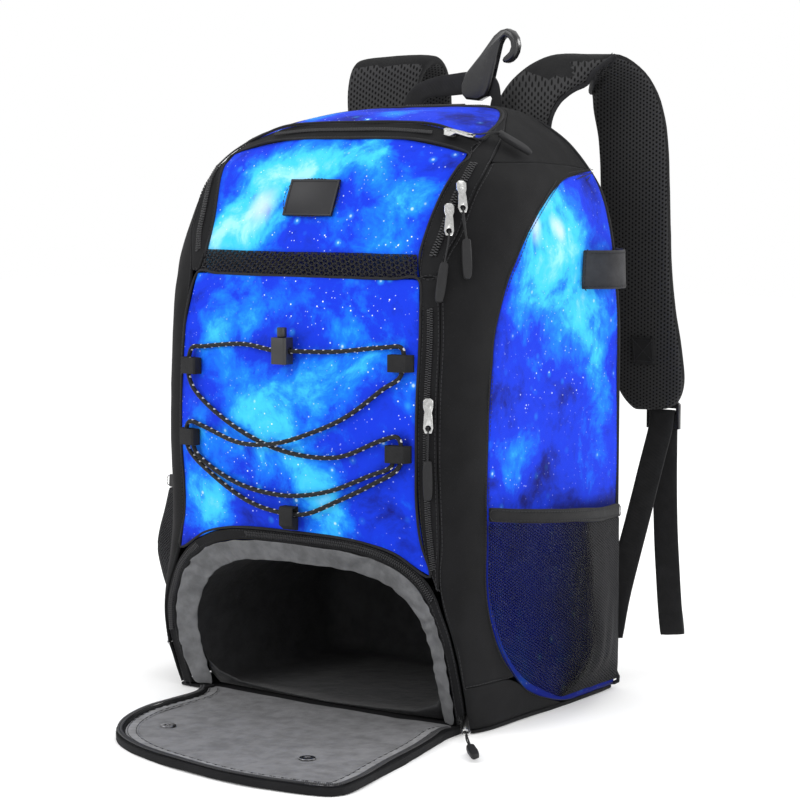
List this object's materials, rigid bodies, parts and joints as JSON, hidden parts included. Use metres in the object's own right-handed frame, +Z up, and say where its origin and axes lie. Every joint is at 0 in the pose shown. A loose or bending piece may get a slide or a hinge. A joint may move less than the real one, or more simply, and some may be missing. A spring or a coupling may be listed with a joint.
{
  "type": "baseball bat backpack",
  "caption": "Upright sports backpack with printed front and side panels, an open shoe compartment, bungee cord, mesh side pockets and padded straps",
  "frame": {"origin": "middle of the base panel's underside, on the floor", "axes": "+Z up, the front with the shoe compartment faces -Y, the shoulder straps are at +Y, +X is the right side seen from the front"},
  "size_m": [0.437, 0.5543, 0.5838],
  "materials": {
    "cloth": "matte woven polyester",
    "print": "galaxy print on polyester",
    "mesh": "open knitted mesh",
    "webbing": "woven webbing",
    "lining": "grey lining cloth",
    "zip": "zip tape and coil",
    "steel": "polished",
    "plastic": "satin",
    "rubber": "matte",
    "cord": "braided elastic with a light fleck"
  },
  "bodies": {
    "root": {"base_panel": "cloth", "back_panel": "cloth", "side_print_right": "print", "gusset_lower_right": "cloth", "gusset_right": "cloth", "side_print_left": "print", "gusset_lower_left": "cloth", "gusset_left": "cloth", "top_yoke": "cloth", "main_zip": "zip", "front_panel": "print", "brow_zip": "zip", "top_panel": "print", "shoe_zip": "zip", "shoe_border": "lining", "shoe_lining": "lining", "shoe_flap": "lining", "flap_zip": "zip", "eyelet_left": "steel", "eyelet_right": "steel", "pocket_front": "print", "pocket_zip": "zip", "pocket_mesh": "mesh", "side_pocket_right": "mesh", "pocket_hem_right": "cloth", "side_pocket_left": "mesh", "pocket_hem_left": "cloth", "bat_strap_right": "webbing", "bat_strap_left": "webbing", "shoulder_strap_right": "cloth", "strap_webbing_right": "webbing", "ladder_lock_right": "plastic", "shoulder_strap_left": "cloth", "strap_webbing_left": "webbing", "ladder_lock_left": "plastic", "carry_handle": "webbing", "fence_hook": "plastic", "bungee_cord": "cord", "bungee_cord_lower": "cord", "cord_tab_upper_right": "webbing", "cord_tab_lower_right": "webbing", "cord_tab_upper_left": "webbing", "cord_tab_lower_left": "webbing", "cord_tab_bottom": "webbing", "cord_lock": "plastic", "cord_lock_plunger": "plastic", "label_patch": "rubber", "zip_slider_main_upper": "steel", "zip_cord_main_upper": "rubber", "zip_slider_main_lower": "steel", "zip_cord_main_lower": "rubber", "zip_slider_pocket": "steel", "zip_cord_pocket": "rubber", "zip_slider_brow": "steel", "zip_cord_brow": "rubber", "zip_slider_shoe": "steel", "zip_cord_shoe": "rubber"}
  },
  "joints": []
}
